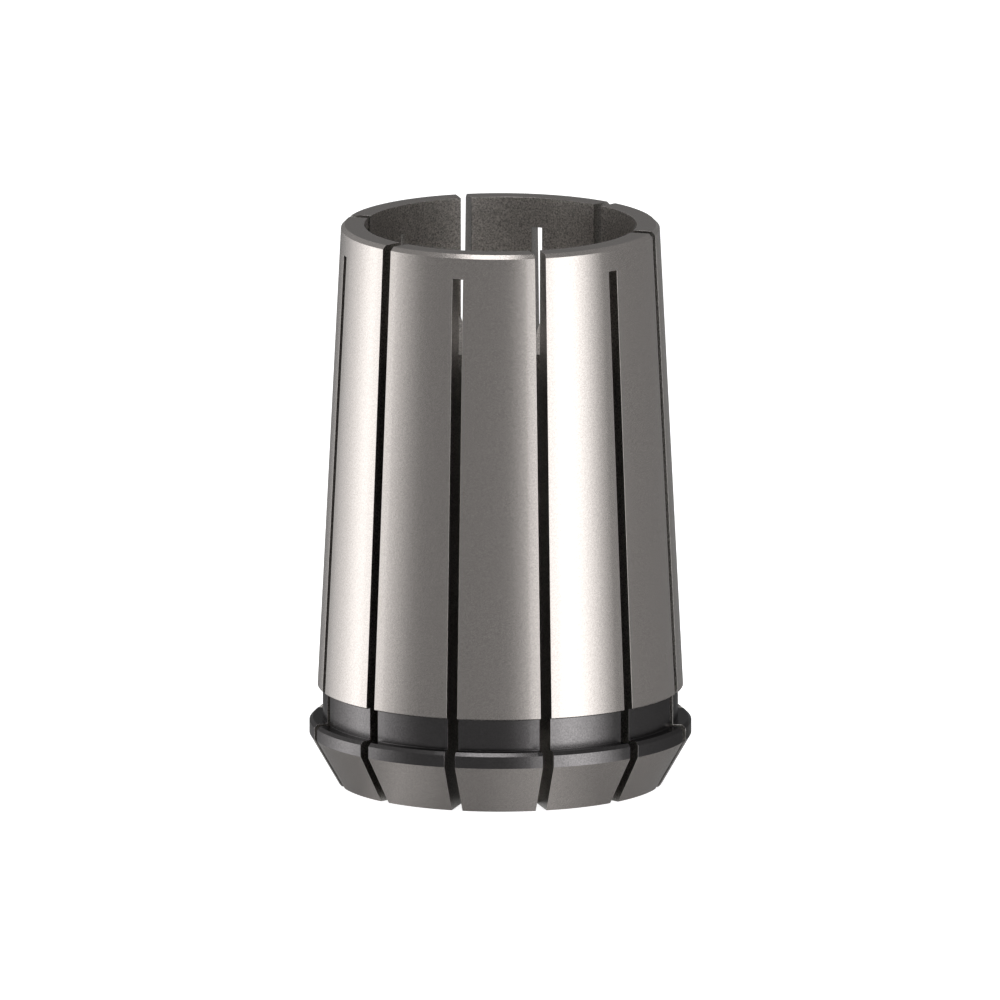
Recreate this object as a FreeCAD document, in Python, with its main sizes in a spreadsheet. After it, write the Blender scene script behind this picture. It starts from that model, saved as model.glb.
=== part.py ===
import FreeCAD, Part
import os
import Sketcher

# Spring collet with a 1:10 taper, turned from one bar and sawn into springy jaws from both ends.
# It stands on its nose: +Z runs along the axis, from the nose face up to the narrow end.
# Lengths are in millimetres and angles in degrees.

DRIVING_SIZES = {
    # Outside, from the nose face up
    "overall_length": 52.0,
    "nose_length": 4.55,
    "nose_half_angle": 30.0,
    "head_diameter": 35.05,
    "collar_width": 1.4,
    "collar_chamfer": 0.3,
    "groove_width": 2.95,
    "groove_diameter": 32.6,
    "taper_large_diameter": 33.55,
    "taper_per_length": 0.1,
    "taper_edge_break": 0.1,
    "rim_chamfer": 0.35,
    # Inside, a gripping bore that opens through a conical step into a wider relief
    "grip_diameter": 16.0,
    "grip_mouth_chamfer": 0.5,
    "relief_diameter": 25.0,
    "relief_depth": 11.1,
    "step_half_angle": 60.0,
    # Slots, sawn by one disc cutter in two rows that alternate round the collet
    "slot_width": 1.0,
    "slots_in_a_row": 6,
    "first_slot_angle": 15.0,
    "cutter_radius": 20.0,
    "cutter_past_bore_wall": 1.0,
    "cutter_past_axis": 1.8,
    "nose_web_width": 3.2,
    "rim_web_height": 2.25,
}


def taper_radius(height):
    """Radius of the long taper at a height."""
    return f"Sizes.taper_large_diameter / 2 - Sizes.taper_per_length / 2 * ({height} - ({TAPER_START}))"


def height_over_centre(radius, centre_radius):
    """Height of the cutter's edge over the cutter's centre, at a distance from the collet's axis."""
    return f"sqrt(Sizes.cutter_radius ^ 2 - ({centre_radius} - ({radius})) ^ 2)"


# Radii and heights that follow from the driving sizes
HEAD_RADIUS = "Sizes.head_diameter / 2"
NOSE_FACE_RADIUS = f"{HEAD_RADIUS} - Sizes.nose_length * tan(Sizes.nose_half_angle)"
COLLAR_TOP = "Sizes.nose_length + Sizes.collar_width"
GROOVE_RADIUS = "Sizes.groove_diameter / 2"
TAPER_START = f"{COLLAR_TOP} + Sizes.groove_width"
TAPER_FOOT = f"{TAPER_START} + Sizes.taper_edge_break"
TAPER_END = "Sizes.overall_length - Sizes.rim_chamfer"
GRIP_RADIUS = "Sizes.grip_diameter / 2"
RELIEF_RADIUS = "Sizes.relief_diameter / 2"
STEP_TOP = "Sizes.overall_length - Sizes.relief_depth"
STEP_BOTTOM = f"{STEP_TOP} - ({RELIEF_RADIUS} - {GRIP_RADIUS}) / tan(Sizes.step_half_angle)"

# A slot is cut from just inside the gripping bore to a slot's width outside the head
SLOT_INNER = f"{GRIP_RADIUS} - Sizes.cutter_past_bore_wall"
SLOT_OUTER = f"{HEAD_RADIUS} + Sizes.slot_width"
SLOT_TOP = "Sizes.overall_length + Sizes.slot_width"

# Row open at the narrow end: the cutter runs out at the nose, over a web that stays round the bore
NOSE_WEB_RADIUS = f"{GRIP_RADIUS} + Sizes.nose_web_width"
RUNOUT_RADIUS = f"{SLOT_INNER} + Sizes.cutter_radius"
RUNOUT_HEIGHT = height_over_centre(NOSE_WEB_RADIUS, RUNOUT_RADIUS)

# Row open at the nose: the cutter reaches past the axis and stops under a web that stays at the rim
RIM_WEB_BOTTOM = "Sizes.overall_length - Sizes.rim_web_height"
STOP_RADIUS = "Sizes.cutter_radius - Sizes.cutter_past_axis"
STOP_HEIGHT = f"{RIM_WEB_BOTTOM} - {height_over_centre(taper_radius(RIM_WEB_BOTTOM), STOP_RADIUS)}"

# Outlines in the half plane, as (radius, height) corners in counter-clockwise order
OUTSIDE_OUTLINE = {
    "axis_at_nose": ("0", "0"),
    "nose_edge": (NOSE_FACE_RADIUS, "0"),
    "head_edge": (HEAD_RADIUS, "Sizes.nose_length"),
    "collar_side_top": (HEAD_RADIUS, f"{COLLAR_TOP} - Sizes.collar_chamfer"),
    "collar_face_edge": (f"{HEAD_RADIUS} - Sizes.collar_chamfer", COLLAR_TOP),
    "groove_bottom": (GROOVE_RADIUS, COLLAR_TOP),
    "groove_top": (GROOVE_RADIUS, TAPER_START),
    "taper_face_edge": (f"{taper_radius(TAPER_FOOT)} - Sizes.taper_edge_break", TAPER_START),
    "taper_foot": (taper_radius(TAPER_FOOT), TAPER_FOOT),
    "taper_end": (taper_radius(TAPER_END), TAPER_END),
    "rim_edge": (f"{taper_radius(TAPER_END)} - Sizes.rim_chamfer", "Sizes.overall_length"),
    "axis_at_rim": ("0", "Sizes.overall_length"),
}
BORE_OUTLINE = {
    "axis_at_nose": ("0", "0"),
    "mouth_edge": (f"{GRIP_RADIUS} + Sizes.grip_mouth_chamfer", "0"),
    "grip_start": (GRIP_RADIUS, "Sizes.grip_mouth_chamfer"),
    "grip_end": (GRIP_RADIUS, STEP_BOTTOM),
    "relief_start": (RELIEF_RADIUS, STEP_TOP),
    "relief_end": (RELIEF_RADIUS, "Sizes.overall_length"),
    "axis_at_rim": ("0", "Sizes.overall_length"),
}
RIM_SLOT_OUTLINE = {
    "runout_start": (SLOT_INNER, RUNOUT_HEIGHT),
    "nose_web_edge": (NOSE_WEB_RADIUS, "0"),
    "outer_at_nose": (SLOT_OUTER, "0"),
    "outer_at_rim": (SLOT_OUTER, SLOT_TOP),
    "inner_at_rim": (SLOT_INNER, SLOT_TOP),
}
NOSE_SLOT_OUTLINE = {
    "inner_at_nose": (SLOT_INNER, "0"),
    "outer_at_nose": (SLOT_OUTER, "0"),
    "outer_stop": (SLOT_OUTER, f"{STOP_HEIGHT} + {height_over_centre(SLOT_OUTER, STOP_RADIUS)}"),
    "inner_stop": (SLOT_INNER, f"{STOP_HEIGHT} + {height_over_centre(SLOT_INNER, STOP_RADIUS)}"),
}


def make_sheet(doc):
    """Spreadsheet with one named cell for each driving size."""
    sheet = doc.addObject("Spreadsheet::Sheet", "Sizes")
    for row, (name, value) in enumerate(DRIVING_SIZES.items(), start=1):
        sheet.set(f"A{row}", name)
        sheet.set(f"B{row}", str(value))
        sheet.setAlias(f"B{row}", name)
    doc.recompute()
    return sheet


def origin_feature(body, role):
    """One of the body's own origin planes or axes."""
    return next(feature for feature in body.Origin.OriginFeatures if feature.Role == role)


def half_plane_sketch(body, name, angle="0"):
    """Sketch with the radius along its x and the height along its y, turned about the axis."""
    sketch = body.newObject("Sketcher::SketchObject", name)
    sketch.AttachmentSupport = [(origin_feature(body, "XZ_Plane"), "")]
    sketch.MapMode = "FlatFace"
    sketch.AttachmentOffset = FreeCAD.Placement(FreeCAD.Vector(), FreeCAD.Vector(0, 1, 0), 0)
    sketch.setExpression("AttachmentOffset.Rotation.Angle", angle)
    return sketch


def cutter_arc(start, end, radius):
    """Arc that turns counter-clockwise from start to end, by less than half a turn."""
    chord = end - start
    to_centre = FreeCAD.Vector(-chord.y, chord.x, 0).normalize()
    centre = (start + end) / 2 + to_centre * (radius ** 2 - (chord.Length / 2) ** 2) ** 0.5
    circle = Part.Circle(centre, FreeCAD.Vector(0, 0, 1), radius)
    return Part.ArcOfCircle(circle, circle.parameter(start), circle.parameter(end))


def tie_to_sheet(sketch, edge, point, name, kind, axis, value, expression):
    """Bind the distance of an edge's point from the sketch's origin to an expression of the sheet."""
    if expression == "0":
        sketch.addConstraint(Sketcher.Constraint("PointOnObject", edge, point, axis))
        return
    index = sketch.addConstraint(Sketcher.Constraint(kind, -1, 1, edge, point, value))
    sketch.renameConstraint(index, name)
    sketch.setExpression(f"Constraints.{name}", expression)


def draw_outline(sketch, sheet, outline, arc_after=None):
    """Draw a closed outline with every corner tied to the sheet. One edge may be the cutter's arc."""
    start_point, end_point = 1, 2
    horizontal_axis, vertical_axis = -1, -2
    names = list(outline)
    places = [
        FreeCAD.Vector(sheet.evalExpression(radius), sheet.evalExpression(height), 0)
        for radius, height in outline.values()
    ]
    for edge, name in enumerate(names):
        start, end = places[edge], places[(edge + 1) % len(places)]
        if name == arc_after:
            sketch.addGeometry(cutter_arc(start, end, sheet.cutter_radius), False)
        else:
            sketch.addGeometry(Part.LineSegment(start, end), False)
    for edge, name in enumerate(names):
        following = (edge + 1) % len(names)
        sketch.addConstraint(Sketcher.Constraint("Coincident", edge, end_point, following, start_point))
        radius, height = outline[name]
        place = places[edge]
        tie_to_sheet(sketch, edge, start_point, f"{name}_radius", "DistanceX", vertical_axis, place.x, radius)
        tie_to_sheet(sketch, edge, start_point, f"{name}_height", "DistanceY", horizontal_axis, place.y, height)
    if arc_after:
        index = sketch.addConstraint(
            Sketcher.Constraint("Radius", names.index(arc_after), sheet.cutter_radius)
        )
        sketch.renameConstraint(index, "cutter_radius")
        sketch.setExpression("Constraints.cutter_radius", "Sizes.cutter_radius")


def turn_outside(body, sheet):
    """Nose cone, collar, groove and long taper, turned in one piece."""
    sketch = half_plane_sketch(body, "OutsideSketch")
    draw_outline(sketch, sheet, OUTSIDE_OUTLINE)
    turned = body.newObject("PartDesign::Revolution", "TurnedOutside")
    turned.Profile = sketch
    turned.ReferenceAxis = (sketch, ["V_Axis"])
    turned.Angle = 360


def turn_bore(body, sheet):
    """Gripping bore, conical step and relief, right through the blank."""
    sketch = half_plane_sketch(body, "BoreSketch")
    draw_outline(sketch, sheet, BORE_OUTLINE)
    bore = body.newObject("PartDesign::Groove", "SteppedBore")
    bore.Profile = sketch
    bore.ReferenceAxis = (sketch, ["V_Axis"])
    bore.Angle = 360


def saw_row(body, sheet, name, outline, arc_after, angle):
    """One row of slots: a cut through one wall, repeated round the axis."""
    sketch = half_plane_sketch(body, f"{name}Sketch", angle)
    draw_outline(sketch, sheet, outline, arc_after)
    slot = body.newObject("PartDesign::Pocket", f"{name}Slot")
    slot.Profile = sketch
    slot.SideType = "Symmetric"
    slot.setExpression("Length", "Sizes.slot_width")
    body.Document.recompute()
    row = body.newObject("PartDesign::PolarPattern", f"{name}Row")
    row.Originals = [slot]
    row.Axis = (origin_feature(body, "Z_Axis"), [""])
    row.Angle = 360
    row.setExpression("Occurrences", "Sizes.slots_in_a_row")
    body.Tip = row
    body.Document.recompute()


def make_collet(doc, sheet):
    """The whole collet as one solid."""
    body = doc.addObject("PartDesign::Body", "Collet")
    body.Label = "collet"
    turn_outside(body, sheet)
    turn_bore(body, sheet)
    doc.recompute()
    between_rows = "180 / Sizes.slots_in_a_row"
    saw_row(body, sheet, "Nose", NOSE_SLOT_OUTLINE, "outer_stop", "Sizes.first_slot_angle")
    saw_row(
        body, sheet, "Rim", RIM_SLOT_OUTLINE, "runout_start", f"Sizes.first_slot_angle + {between_rows}"
    )
    return body


def check_and_export(doc, bodies):
    """Stop if anything failed, and otherwise write one STEP file for each body."""
    for item in doc.Objects:
        if "Invalid" in item.State or "Error" in item.State:
            raise RuntimeError(f"{item.Name} is {item.State}")
    os.makedirs("parts", exist_ok=True)
    for body in bodies:
        shape = body.Shape
        if shape.isNull() or not shape.isValid() or len(shape.Solids) != 1:
            raise RuntimeError(f"{body.Label} is not one sound solid")
        shape.exportStep(f"parts/{body.Label}.step")
        print(f"{body.Label}: {shape.Volume:.1f} mm3, {len(shape.Faces)} faces, {shape.BoundBox}")


def main():
    doc = FreeCAD.newDocument("spring_collet")
    sheet = make_sheet(doc)
    collet = make_collet(doc, sheet)
    doc.recompute()
    check_and_export(doc, [collet])


main()
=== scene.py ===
import math

import bmesh
import bpy
from mathutils import Matrix, Vector


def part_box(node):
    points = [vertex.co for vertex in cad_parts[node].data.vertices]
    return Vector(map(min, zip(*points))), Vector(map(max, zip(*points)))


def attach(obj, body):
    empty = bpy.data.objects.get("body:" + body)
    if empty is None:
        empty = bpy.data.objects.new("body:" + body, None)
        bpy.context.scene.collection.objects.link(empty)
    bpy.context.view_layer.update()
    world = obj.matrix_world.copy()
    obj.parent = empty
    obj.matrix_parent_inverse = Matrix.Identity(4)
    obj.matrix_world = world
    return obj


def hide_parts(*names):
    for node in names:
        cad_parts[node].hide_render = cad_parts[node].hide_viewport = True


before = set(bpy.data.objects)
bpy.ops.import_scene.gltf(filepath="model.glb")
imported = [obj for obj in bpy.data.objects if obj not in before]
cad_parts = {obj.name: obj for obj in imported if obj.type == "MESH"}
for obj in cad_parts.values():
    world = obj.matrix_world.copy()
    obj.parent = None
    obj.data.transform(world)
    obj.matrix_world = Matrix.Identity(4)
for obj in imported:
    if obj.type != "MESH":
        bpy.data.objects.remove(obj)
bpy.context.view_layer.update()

# Sizes in metres. The overall length comes from the collet in model.glb, and the rest repeat the part's own
# sizes.
MM = 0.001
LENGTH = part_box("collet")[1].z
HEAD_RADIUS = 17.525 * MM
NOSE_FACE_RADIUS = 14.898 * MM
NOSE_LENGTH = 4.55 * MM
COLLAR_TOP = 5.95 * MM
COLLAR_CHAMFER = 0.3 * MM
GROOVE_RADIUS = 16.3 * MM
TAPER_START = 8.9 * MM
TAPER_START_RADIUS = 16.775 * MM
TAPER_SLOPE = 0.05
TAPER_EDGE_BREAK = 0.1 * MM
RIM_CHAMFER = 0.35 * MM
GRIP_RADIUS = 8.0 * MM
GRIP_MOUTH_CHAMFER = 0.5 * MM
RELIEF_RADIUS = 12.5 * MM
RELIEF_DEPTH = 11.1 * MM
STEP_HALF_ANGLE = math.radians(60)
STEP_TOP = LENGTH - RELIEF_DEPTH
STEP_BOTTOM = STEP_TOP - (RELIEF_RADIUS - GRIP_RADIUS) / math.tan(STEP_HALF_ANGLE)

# Slots: two rows that alternate, with half a jaw between one slot's middle and the next
HALF_SLOT = 0.5 * MM
FIRST_SLOT = math.radians(15)
JAWS = 6
HALF_JAW = math.pi / JAWS
RIM_WEB_HEIGHT = 2.25 * MM
RIM_WEB_HEIGHT_INSIDE = 2.776 * MM
RIM_WEB_BOTTOM = LENGTH - RIM_WEB_HEIGHT
RIM_WEB_BOTTOM_INSIDE = LENGTH - RIM_WEB_HEIGHT_INSIDE
NOSE_WEB_WIDTH = 3.2 * MM
NOSE_WEB_RADIUS = GRIP_RADIUS + NOSE_WEB_WIDTH
CUTTER_RADIUS = 20.0 * MM
CUTTER_PAST_BORE_WALL = 1.0 * MM
RUNOUT_CENTRE = Vector((GRIP_RADIUS - CUTTER_PAST_BORE_WALL + CUTTER_RADIUS, 0, 0))
RUNOUT_CENTRE.z = math.sqrt(CUTTER_RADIUS ** 2 - (RUNOUT_CENTRE.x - NOSE_WEB_RADIUS) ** 2)
NOSE_WEB_TOP = RUNOUT_CENTRE.z - math.sqrt(CUTTER_RADIUS ** 2 - (RUNOUT_CENTRE.x - GRIP_RADIUS) ** 2)

# How fine the mesh is
SLOT_TURN = math.radians(4.5)
JAW_TURN = HALF_JAW - 2 * SLOT_TURN
JAW_STEPS = 16
RUNOUT_STEPS = 10
WELD = 0.001 * MM
EDGE_SOFTENING = 0.02 * MM
SOFTENED_ANGLE = math.radians(60)
SOFTENED_STEPS = 2
CRISP_ANGLE = math.radians(20)

# The steel's grain, and the part of the noise's range that makes its shades
GRAINS_PER_METRE = 7000
GRAIN_LOW = 0.3
GRAIN_HIGH = 0.7

# The photograph shows no perspective: its near and far edges have one scale
CAMERA_TARGET = Vector((-0.036 * MM, 0, 26.165 * MM))
CAMERA_DISTANCE = 0.5
CAMERA_AZIMUTH = math.radians(0.46)
CAMERA_ELEVATION = math.radians(11.53)
CAMERA_NEAR = 0.01
CAMERA_FAR = 20
FRAME_WIDTH = 91.75 * MM

# The studio: a grey tent that only reflections show. Its lights are pairs of azimuth, in degrees from
# the front, and strength.
TENT_STEPS = 96
TENT_FOOT_RADIUS = 41 * MM
TENT_FOOT_HEIGHT = 0.3 * MM
TENT_WAIST_RADIUS = 35.5 * MM
TENT_WAIST_HEIGHT = 54 * MM
TENT_RADIUS = 300 * MM
TENT_SHOULDER_HEIGHT = 60 * MM
TENT_HEIGHT = 600 * MM
TENT_LIGHT = 0.245
TENT_WALL_LIGHTS = [
    (-180, 0.13), (-160, 0.17), (-138, 0.27), (-121, 0.66), (-99, 1.65), (-84, 3.0), (-68, 1.65),
    (-58, 0.88), (-48, 0.35), (-42, 0.25), (6, 0.25), (14, 0.66), (20, 1.55), (28, 2.75), (35, 3.35),
    (41, 3.25), (48, 2.5), (56, 1.2), (62, 0.48), (67, 0.28), (90, 0.28), (140, 0.28), (160, 0.21),
    (180, 0.13),
]
TENT_TOP_LIGHTS = [
    (-180, 0.155), (-165, 0.18), (-145, 0.42), (-115, 0.4), (-90, 0.25), (30, 0.22), (70, 0.28), (130, 0.27),
    (165, 0.2), (180, 0.155),
]
TOP_CARD_SIZE = (216 * MM, 260 * MM)
TOP_CARD_PLACE = (-49 * MM, -48 * MM)
TOP_CARD_BELOW_ROOF = 1 * MM
TOP_CARD_LIGHT = 3.8
COLLAR_FLAG_RADII = (17.23 * MM, 17.95 * MM)
COLLAR_FLAG_HEIGHT = 5.98 * MM
COLLAR_FLAG_START = math.radians(12)
COLLAR_FLAG_TURN = math.radians(328)
COLLAR_FLAG_LIGHTS = [
    (-180, 0.25), (-75, 0.46), (-42, 0.44), (-36, 0.38), (-28, 0.29), (-20, 0.3), (12, 0.2), (180, 0.22),
]

# The floor and the room, with the light that the camera and the reflections see in them. In reflections the
# floor shows painted light: the tent's lights, painted pools of light near the collet and a painted shadow
# under it.
FLOOR_SIZE = 6.0
FLOOR_COLOR = 0.6
FLOOR_SEEN_LIGHT = 0.88
# Painted shadow: the floor's light, as reflections see it, under the collet
FLOOR_PAINTED_SHADOW = 0.08
FLOOR_NEAR_RADIUS = 21 * MM
FLOOR_FAR_RADIUS = 31 * MM
# Painted pools of light on the floor near the collet, seen only in reflections
FLOOR_PAINTED_NEAR_LIGHTS = [
    (-180, 0.26), (-60, 0.28), (-40, 0.55), (-20, 0.29), (-6, 0.29), (18, 0.56), (39, 0.29), (180, 0.26),
]
ROOM_LIGHT = 0.3

# Softboxes: name, direction from the collet, size in metres and power in watts
SOFTBOX_DISTANCE = 0.6
SOFTBOXES = [
    ("top_softbox", (0, -0.3, 1), 0.4, 1.7),
    ("left_softbox", (-1, -0.6, 0.7), 0.3, 0.8),
    ("right_softbox", (1, -0.8, 0.7), 0.3, 0.8),
]

# Finishes, in the order of the collet's material slots. The last marks a slot's end until it is sawn.
GROUND, OXIDE, BORE, SAWN, SLOT_END = range(5)


def taper_radius(height):
    """Radius of the long taper at a height."""
    return TAPER_START_RADIUS - TAPER_SLOPE * (height - TAPER_START)


def turned_profile():
    """Corners of the collet's section as radius, height and the finish from there to the next corner."""
    taper_foot = TAPER_START + TAPER_EDGE_BREAK
    taper_end = LENGTH - RIM_CHAMFER
    return [
        (NOSE_WEB_RADIUS, 0, GROUND),
        (NOSE_FACE_RADIUS, 0, GROUND),
        (HEAD_RADIUS, NOSE_LENGTH, OXIDE),
        (HEAD_RADIUS, COLLAR_TOP - COLLAR_CHAMFER, OXIDE),
        (HEAD_RADIUS - COLLAR_CHAMFER, COLLAR_TOP, OXIDE),
        (GROOVE_RADIUS, COLLAR_TOP, OXIDE),
        (GROOVE_RADIUS, TAPER_START, OXIDE),
        (taper_radius(taper_foot) - TAPER_EDGE_BREAK, TAPER_START, GROUND),
        (taper_radius(taper_foot), taper_foot, GROUND),
        (taper_radius(RIM_WEB_BOTTOM), RIM_WEB_BOTTOM, GROUND),
        (taper_radius(taper_end), taper_end, GROUND),
        (taper_radius(taper_end) - RIM_CHAMFER, LENGTH, GROUND),
        (RELIEF_RADIUS, LENGTH, BORE),
        (RELIEF_RADIUS, RIM_WEB_BOTTOM_INSIDE, BORE),
        (RELIEF_RADIUS, STEP_TOP, BORE),
        (GRIP_RADIUS, STEP_BOTTOM, BORE),
        (GRIP_RADIUS, NOSE_WEB_TOP, BORE),
        (GRIP_RADIUS, GRIP_MOUTH_CHAMFER, GROUND),
        (GRIP_RADIUS + GRIP_MOUTH_CHAMFER, 0, GROUND),
    ]


def runout_curve():
    """The round bottom that the cutter leaves, from the bore down to the nose face."""
    start = math.atan2(NOSE_WEB_TOP - RUNOUT_CENTRE.z, GRIP_RADIUS - RUNOUT_CENTRE.x)
    end = math.atan2(-RUNOUT_CENTRE.z, NOSE_WEB_RADIUS - RUNOUT_CENTRE.x)
    turn = (end - start) % (2 * math.pi)
    points = []
    for step in range(RUNOUT_STEPS + 1):
        angle = start + turn * step / RUNOUT_STEPS
        points.append((
            RUNOUT_CENTRE.x + CUTTER_RADIUS * math.cos(angle),
            RUNOUT_CENTRE.z + CUTTER_RADIUS * math.sin(angle),
        ))
    return points


def web_underside():
    """The end of a slot under the web at the rim, from the bore out to the taper."""
    return [(RELIEF_RADIUS, RIM_WEB_BOTTOM_INSIDE), (taper_radius(RIM_WEB_BOTTOM), RIM_WEB_BOTTOM)]


def spin_line(bm, start, end, turns, finish):
    """Turn one straight line of the section round the axis, and give the new faces their finish."""
    ends = [bm.verts.new((radius, 0, height)) for radius, height in (start, end)]
    turned = ends + [bm.edges.new(ends)]
    made_before = set(bm.faces)
    for angle, steps in turns:
        turned = bmesh.ops.spin(
            bm, geom=turned, axis=(0, 0, 1), cent=(0, 0, 0), angle=angle, steps=steps
        )["geom_last"]
    for face in set(bm.faces) - made_before:
        face.material_index = finish


def spin_half_jaw(bm):
    """Turn the whole section from the middle of a nose slot to the middle of a rim slot."""
    turns = [(SLOT_TURN, 1), (JAW_TURN, JAW_STEPS), (SLOT_TURN, 1)]
    profile = turned_profile()
    for (radius, height, finish), following in zip(profile, profile[1:] + profile[:1]):
        spin_line(bm, (radius, height), following[:2], turns, finish)
    bmesh.ops.remove_doubles(bm, verts=bm.verts, dist=WELD)


def saw_half_slot(bm, side, slot_end, in_web):
    """Saw half a slot along the plane y = 0, and close its end at the web and its wall."""
    for start, end in zip(slot_end, slot_end[1:]):
        spin_line(bm, start, end, [(side * SLOT_TURN, 1)], SLOT_END)
    bmesh.ops.remove_doubles(bm, verts=bm.verts, dist=WELD)
    bmesh.ops.bisect_plane(
        bm, geom=bm.verts[:] + bm.edges[:] + bm.faces[:], dist=WELD,
        plane_co=(0, side * HALF_SLOT, 0), plane_no=(0, 1, 0),
    )
    waste = []
    for face in bm.faces:
        centre = face.calc_center_median()
        if centre.y * side < HALF_SLOT:
            spare = not in_web(centre)
        else:
            spare = face.material_index == SLOT_END
        if spare:
            waste.append(face)
        elif face.material_index == SLOT_END:
            face.material_index = SAWN
    bmesh.ops.delete(bm, geom=waste, context="FACES")
    wall_edges = [
        edge for edge in bm.edges
        if edge.is_boundary and all(abs(vert.co.y - side * HALF_SLOT) < WELD for vert in edge.verts)
    ]
    for face in bmesh.ops.contextual_create(bm, geom=wall_edges)["faces"]:
        face.material_index = SAWN


def in_rim_web(centre):
    """Whether a face lies in the web above the slots that open at the nose."""
    return centre.z > RIM_WEB_BOTTOM_INSIDE


def in_nose_web(centre):
    """Whether a face lies in the web below the slots that open at the rim."""
    return centre.z < NOSE_WEB_TOP and centre.xy.length < NOSE_WEB_RADIUS


def soften_edges(bm):
    """Break the square edges a little, and keep the edges of the chamfers and cones crisp."""
    for edge in bm.edges:
        edge.smooth = edge.calc_face_angle(0) < CRISP_ANGLE
    sharp = [edge for edge in bm.edges if edge.calc_face_angle(0) > SOFTENED_ANGLE]
    bmesh.ops.bevel(
        bm, geom=sharp, offset=EDGE_SOFTENING, offset_type="OFFSET", segments=SOFTENED_STEPS, profile=0.5,
        affect="EDGES", clamp_overlap=True, material=-1,
    )


def build_collet():
    """The collet in one piece: half a jaw, mirrored, and the jaw repeated round the axis."""
    bm = bmesh.new()
    spin_half_jaw(bm)
    saw_half_slot(bm, 1, web_underside(), in_rim_web)
    bmesh.ops.rotate(bm, verts=bm.verts, cent=(0, 0, 0), matrix=Matrix.Rotation(-HALF_JAW, 3, "Z"))
    saw_half_slot(bm, -1, runout_curve(), in_nose_web)
    bmesh.ops.mirror(bm, geom=bm.verts[:] + bm.edges[:] + bm.faces[:], axis="Y", merge_dist=-1)
    bmesh.ops.rotate(
        bm, verts=bm.verts, cent=(0, 0, 0), matrix=Matrix.Rotation(FIRST_SLOT + HALF_JAW, 3, "Z")
    )
    jaw = bm.verts[:] + bm.edges[:] + bm.faces[:]
    for turn in range(1, JAWS):
        copy = bmesh.ops.duplicate(bm, geom=jaw)["geom"]
        bmesh.ops.rotate(
            bm, verts=[item for item in copy if isinstance(item, bmesh.types.BMVert)],
            cent=(0, 0, 0), matrix=Matrix.Rotation(2 * HALF_JAW * turn, 3, "Z"),
        )
    bmesh.ops.remove_doubles(bm, verts=bm.verts, dist=WELD)
    bmesh.ops.recalc_face_normals(bm, faces=bm.faces)
    soften_edges(bm)
    for face in bm.faces:
        face.smooth = True
    mesh = bpy.data.meshes.new("slotted_collet")
    bm.to_mesh(mesh)
    bm.free()
    collet = bpy.data.objects.new("slotted_collet", mesh)
    bpy.context.scene.collection.objects.link(collet)
    return collet


def material(name, base_color, metallic, roughness):
    """A plain surface, given back with its node tree and its main shader."""
    made = bpy.data.materials.new(name)
    made.use_nodes = True
    shader = made.node_tree.nodes["Principled BSDF"]
    shader.inputs["Base Color"].default_value = (*base_color, 1)
    shader.inputs["Metallic"].default_value = metallic
    shader.inputs["Roughness"].default_value = roughness
    return made, made.node_tree, shader


def add_grain(tree, shader, speckle, bump_depth):
    """A fine grain that makes the colour and the surface a little uneven."""
    nodes, links = tree.nodes, tree.links
    place = nodes.new("ShaderNodeTexCoord")
    noise = nodes.new("ShaderNodeTexNoise")
    noise.inputs["Scale"].default_value = GRAINS_PER_METRE
    noise.inputs["Detail"].default_value = 1
    bump = nodes.new("ShaderNodeBump")
    bump.inputs["Strength"].default_value = 1
    bump.inputs["Distance"].default_value = bump_depth
    shade = nodes.new("ShaderNodeMapRange")
    shade.inputs["From Min"].default_value = GRAIN_LOW
    shade.inputs["From Max"].default_value = GRAIN_HIGH
    shade.inputs["To Min"].default_value = 1 - speckle
    shade.inputs["To Max"].default_value = 1 + speckle
    tint = nodes.new("ShaderNodeVectorMath")
    tint.operation = "SCALE"
    tint.inputs[0].default_value = shader.inputs["Base Color"].default_value[:3]
    links.new(place.outputs["Object"], noise.inputs["Vector"])
    links.new(noise.outputs["Fac"], bump.inputs["Height"])
    links.new(bump.outputs["Normal"], shader.inputs["Normal"])
    links.new(noise.outputs["Fac"], shade.inputs["Value"])
    links.new(shade.outputs["Result"], tint.inputs["Scale"])
    links.new(tint.outputs["Vector"], shader.inputs["Base Color"])


def ground_steel():
    """The satin grinding of the nose, the taper and the rim."""
    made, tree, shader = material(
        "ground_steel", base_color=(0.442, 0.412, 0.392), metallic=0.85, roughness=0.25,
    )
    shader.inputs["Specular Tint"].default_value = (0.85, 0.85, 0.85, 1)
    add_grain(tree, shader, speckle=0.085, bump_depth=0.00014 * MM)
    return made


def black_oxide():
    """The black finish of the collar and the groove."""
    made, tree, shader = material("black_oxide", base_color=(0.118, 0.113, 0.114), metallic=1, roughness=0.25)
    shader.inputs["Specular Tint"].default_value = (0.5, 0.5, 0.5, 1)
    add_grain(tree, shader, speckle=0.16, bump_depth=0.0003 * MM)
    return made


def bored_steel():
    """The rougher turning inside."""
    made, tree, shader = material("bored_steel", base_color=(0.5, 0.473, 0.45), metallic=0.93, roughness=0.38)
    add_grain(tree, shader, speckle=0.4, bump_depth=0.002 * MM)
    return made


def sawn_steel():
    """The walls and ends of the slots."""
    made, tree, shader = material("sawn_steel", base_color=(0.43, 0.415, 0.395), metallic=1, roughness=0.3)
    add_grain(tree, shader, speckle=0.4, bump_depth=0.002 * MM)
    return made


def dress_collet():
    """Swap the CAD node for the finely made collet, with its finishes."""
    collet = build_collet()
    for finish in (ground_steel, black_oxide, bored_steel, sawn_steel):
        collet.data.materials.append(finish())
    normals = collet.modifiers.new("even_shading", "WEIGHTED_NORMAL")
    normals.keep_sharp = True
    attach(collet, "root")
    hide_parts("collet")


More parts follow.
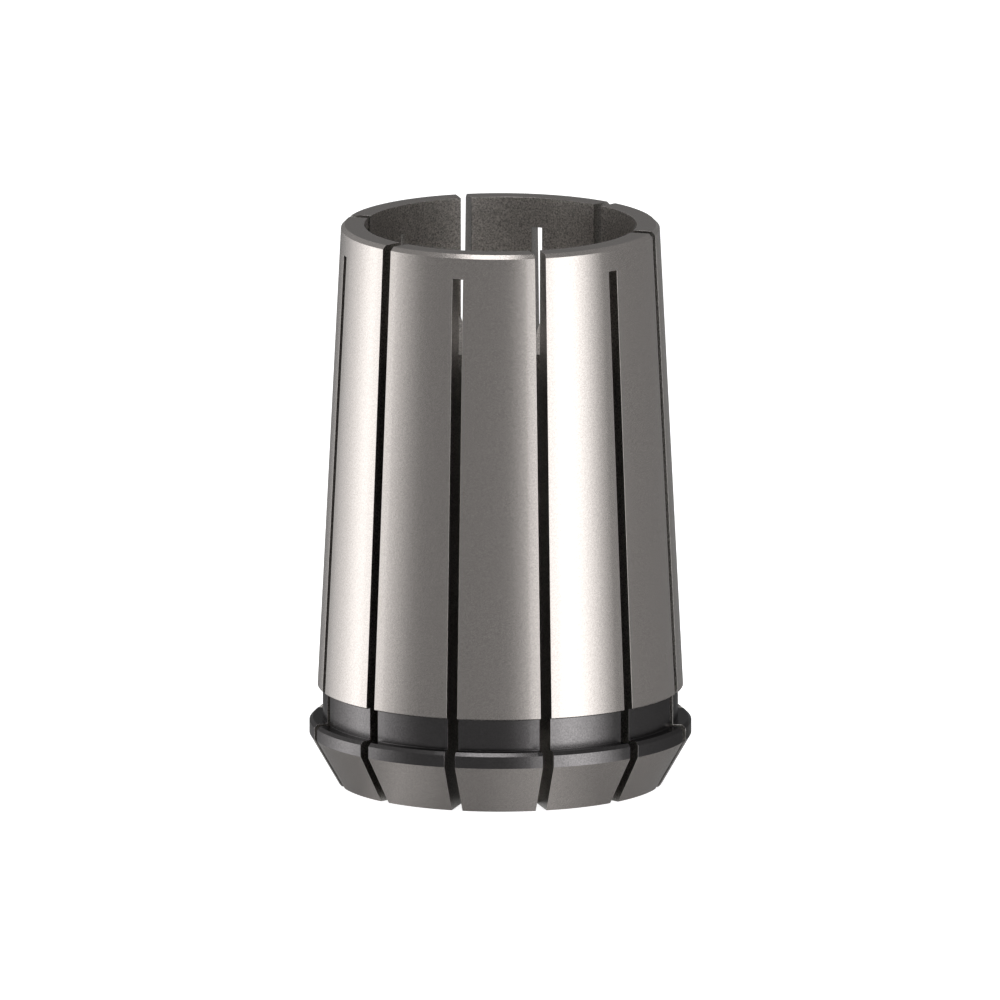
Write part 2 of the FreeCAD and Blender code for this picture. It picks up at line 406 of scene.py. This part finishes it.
def glow(name, strength):
    """A surface that only gives light."""
    made = bpy.data.materials.new(name)
    made.use_nodes = True
    nodes, links = made.node_tree.nodes, made.node_tree.links
    nodes.remove(nodes["Principled BSDF"])
    emission = nodes.new("ShaderNodeEmission")
    emission.inputs["Strength"].default_value = strength
    links.new(emission.outputs["Emission"], nodes["Material Output"].inputs["Surface"])
    return made, made.node_tree, emission


def only_reflected(thing):
    """Keep a studio card out of sight, so that only shiny surfaces show it."""
    thing.visible_camera = False
    thing.visible_diffuse = False
    thing.visible_transmission = False
    thing.visible_shadow = False
    thing.visible_volume_scatter = False


def stand_on_stage(name, bm, finish):
    """Make a finished bmesh part of the stage."""
    mesh = bpy.data.meshes.new(name)
    bm.to_mesh(mesh)
    bm.free()
    mesh.materials.append(finish)
    thing = bpy.data.objects.new(name, mesh)
    bpy.context.scene.collection.objects.link(thing)
    return thing


def light_by_azimuth(tree, lights):
    """Strength that follows a list of azimuths and light levels round the axis."""
    nodes, links = tree.nodes, tree.links
    brightest = max(level for azimuth, level in lights)
    place = nodes.new("ShaderNodeTexCoord")
    split = nodes.new("ShaderNodeSeparateXYZ")
    to_front = nodes.new("ShaderNodeMath")
    to_front.operation = "MULTIPLY"
    to_front.inputs[1].default_value = -1
    azimuth_node = nodes.new("ShaderNodeMath")
    azimuth_node.operation = "ARCTAN2"
    turn = nodes.new("ShaderNodeMapRange")
    turn.inputs["From Min"].default_value = -math.pi
    turn.inputs["From Max"].default_value = math.pi
    ramp = nodes.new("ShaderNodeValToRGB")
    stops = ramp.color_ramp.elements
    for stop, (azimuth, level) in zip(stops, (lights[0], lights[-1])):
        stop.position = azimuth / 360 + 0.5
        stop.color = (level / brightest,) * 3 + (1,)
    for azimuth, level in lights[1:-1]:
        stops.new(azimuth / 360 + 0.5).color = (level / brightest,) * 3 + (1,)
    strength = nodes.new("ShaderNodeMath")
    strength.operation = "MULTIPLY"
    strength.inputs[1].default_value = brightest
    links.new(place.outputs["Object"], split.inputs["Vector"])
    links.new(split.outputs["Y"], to_front.inputs[0])
    links.new(split.outputs["X"], azimuth_node.inputs[0])
    links.new(to_front.outputs["Value"], azimuth_node.inputs[1])
    links.new(azimuth_node.outputs["Value"], turn.inputs["Value"])
    links.new(turn.outputs["Result"], ramp.inputs["Fac"])
    links.new(ramp.outputs["Color"], strength.inputs[0])
    return strength.outputs["Value"]


def tent_part(name, profile, lights, start=0, turn=2 * math.pi):
    """Part of the tent, turned round the axis from a start counted from the front."""
    bm = bmesh.new()
    corners = [
        bm.verts.new((radius * math.sin(start), -radius * math.cos(start), height))
        for radius, height in profile
    ]
    edges = [bm.edges.new(pair) for pair in zip(corners, corners[1:])]
    bmesh.ops.spin(
        bm, geom=corners + edges, axis=(0, 0, 1), cent=(0, 0, 0),
        angle=turn, steps=TENT_STEPS, use_merge=turn == 2 * math.pi,
    )
    finish, tree, emission = glow(name, 1)
    tree.links.new(light_by_azimuth(tree, lights), emission.inputs["Strength"])
    only_reflected(stand_on_stage(name, bm, finish))


def make_tent():
    """A grey tent round the collet, with bright patches at both sides, a card overhead and a dark flag
    over the collar."""
    foot = (TENT_FOOT_RADIUS, TENT_FOOT_HEIGHT)
    waist = (TENT_WAIST_RADIUS, TENT_WAIST_HEIGHT)
    shoulder = (TENT_RADIUS, TENT_SHOULDER_HEIGHT)
    tent_part("tent_wall", [foot, waist], TENT_WALL_LIGHTS)
    tent_part("tent_top", [waist, shoulder, (TENT_RADIUS, TENT_HEIGHT)], TENT_TOP_LIGHTS)
    tent_part(
        "collar_flag", [(radius, COLLAR_FLAG_HEIGHT) for radius in COLLAR_FLAG_RADII], COLLAR_FLAG_LIGHTS,
        COLLAR_FLAG_START, COLLAR_FLAG_TURN,
    )

    bm = bmesh.new()
    bmesh.ops.create_circle(bm, cap_ends=True, segments=TENT_STEPS, radius=TENT_RADIUS)
    bmesh.ops.translate(bm, verts=bm.verts, vec=(0, 0, TENT_HEIGHT))
    only_reflected(stand_on_stage("tent_roof", bm, glow("tent_roof", TENT_LIGHT)[0]))

    bm = bmesh.new()
    bmesh.ops.create_grid(bm, x_segments=1, y_segments=1, size=0.5)
    bmesh.ops.scale(bm, verts=bm.verts, vec=(*TOP_CARD_SIZE, 1))
    bmesh.ops.translate(bm, verts=bm.verts, vec=(*TOP_CARD_PLACE, TENT_HEIGHT - TOP_CARD_BELOW_ROOF))
    only_reflected(stand_on_stage("top_card", bm, glow("top_card", TOP_CARD_LIGHT)[0]))


def near_or_far(tree, near, far, start, end):
    """Pass from one strength close to the axis, a number or a node's output, to another further out."""
    nodes, links = tree.nodes, tree.links
    place = nodes.new("ShaderNodeTexCoord")
    radius = nodes.new("ShaderNodeVectorMath")
    radius.operation = "LENGTH"
    part = nodes.new("ShaderNodeMapRange")
    part.inputs["From Min"].default_value = start
    part.inputs["From Max"].default_value = end
    blend = nodes.new("ShaderNodeMix")
    blend.data_type = "FLOAT"
    links.new(place.outputs["Object"], radius.inputs[0])
    links.new(radius.outputs["Value"], part.inputs["Value"])
    links.new(part.outputs["Result"], blend.inputs["Factor"])
    if isinstance(near, float):
        blend.inputs["A"].default_value = near
    else:
        links.new(near, blend.inputs["A"])
    links.new(far, blend.inputs["B"])
    return blend.outputs["Result"]


def make_floor():
    """A pale floor, white where the camera looks at it. In reflections its light is painted: the tent's
    lights carried on, with painted pools of light near the collet, and a painted shadow that makes it almost
    black under it."""
    bm = bmesh.new()
    bmesh.ops.create_grid(bm, x_segments=1, y_segments=1, size=FLOOR_SIZE / 2)
    finish, tree, shader = material("studio_floor", base_color=(FLOOR_COLOR,) * 3, metallic=0, roughness=1)
    shader.inputs["Specular IOR Level"].default_value = 0
    nodes, links = tree.nodes, tree.links
    ray = nodes.new("ShaderNodeLightPath")
    seen = nodes.new("ShaderNodeMath")
    seen.operation = "MULTIPLY"
    seen.inputs[1].default_value = FLOOR_SEEN_LIGHT
    links.new(ray.outputs["Is Camera Ray"], seen.inputs[0])
    shader.inputs["Emission Color"].default_value = (1, 1, 1, 1)
    links.new(seen.outputs["Value"], shader.inputs["Emission Strength"])
    # Reflections see a painted floor: the tent's lights carried on, and painted pools of light near the
    # collet
    reflected = nodes.new("ShaderNodeEmission")
    level = near_or_far(
        tree, light_by_azimuth(tree, FLOOR_PAINTED_NEAR_LIGHTS), light_by_azimuth(tree, TENT_WALL_LIGHTS),
        FLOOR_NEAR_RADIUS, FLOOR_FAR_RADIUS,
    )
    # Painted shadow: reflections see the floor almost black under the collet
    level = near_or_far(tree, FLOOR_PAINTED_SHADOW, level, GRIP_RADIUS, NOSE_FACE_RADIUS)
    links.new(level, reflected.inputs["Strength"])
    shiny = nodes.new("ShaderNodeMath")
    shiny.operation = "MAXIMUM"
    links.new(ray.outputs["Is Glossy Ray"], shiny.inputs[0])
    links.new(ray.outputs["Is Transmission Ray"], shiny.inputs[1])
    both = nodes.new("ShaderNodeMixShader")
    links.new(shiny.outputs["Value"], both.inputs["Fac"])
    links.new(shader.outputs["BSDF"], both.inputs[1])
    links.new(reflected.outputs["Emission"], both.inputs[2])
    links.new(both.outputs["Shader"], nodes["Material Output"].inputs["Surface"])
    stand_on_stage("studio_floor", bm, finish)


def light_world():
    """A pale room that is white wherever it is seen, and gentler as a light."""
    world = bpy.data.worlds.new("studio_room")
    bpy.context.scene.world = world
    world.use_nodes = True
    nodes, links = world.node_tree.nodes, world.node_tree.links
    ray = nodes.new("ShaderNodeLightPath")
    seen = nodes.new("ShaderNodeMath")
    seen.operation = "MAXIMUM"
    links.new(ray.outputs["Is Camera Ray"], seen.inputs[0])
    links.new(ray.outputs["Is Glossy Ray"], seen.inputs[1])
    any_way = nodes.new("ShaderNodeMath")
    any_way.operation = "MAXIMUM"
    links.new(seen.outputs["Value"], any_way.inputs[0])
    links.new(ray.outputs["Is Transmission Ray"], any_way.inputs[1])
    level = nodes.new("ShaderNodeMapRange")
    level.inputs["To Min"].default_value = ROOM_LIGHT
    level.inputs["To Max"].default_value = 1
    links.new(any_way.outputs["Value"], level.inputs["Value"])
    background = nodes["Background"]
    background.inputs["Color"].default_value = (1, 1, 1, 1)
    links.new(level.outputs["Result"], background.inputs["Strength"])


def soft_light(name, direction, size, power):
    """A softbox that faces the collet."""
    out = Vector(direction)
    light = bpy.data.lights.new(name, "AREA")
    light.shape = "SQUARE"
    light.size = size
    light.energy = power
    softbox = bpy.data.objects.new(name, light)
    bpy.context.scene.collection.objects.link(softbox)
    softbox.location = CAMERA_TARGET + out.normalized() * SOFTBOX_DISTANCE
    softbox.rotation_euler = out.to_track_quat("Z", "Y").to_euler()
    softbox.visible_glossy = False


def place_camera():
    """The camera, from which the collet stands as it does in the photograph."""
    data = bpy.data.cameras.new("photograph")
    data.type = "ORTHO"
    data.ortho_scale = FRAME_WIDTH
    data.clip_start = CAMERA_NEAR
    data.clip_end = CAMERA_FAR
    camera = bpy.data.objects.new("photograph", data)
    bpy.context.scene.collection.objects.link(camera)
    out = Vector((
        math.sin(CAMERA_AZIMUTH) * math.cos(CAMERA_ELEVATION),
        -math.cos(CAMERA_AZIMUTH) * math.cos(CAMERA_ELEVATION),
        math.sin(CAMERA_ELEVATION),
    ))
    camera.location = CAMERA_TARGET + out * CAMERA_DISTANCE
    camera.rotation_euler = out.to_track_quat("Z", "Y").to_euler()
    bpy.context.scene.camera = camera


bpy.context.scene.view_settings.view_transform = "Standard"
dress_collet()
make_floor()
make_tent()
light_world()
for softbox in SOFTBOXES:
    soft_light(*softbox)
place_camera()
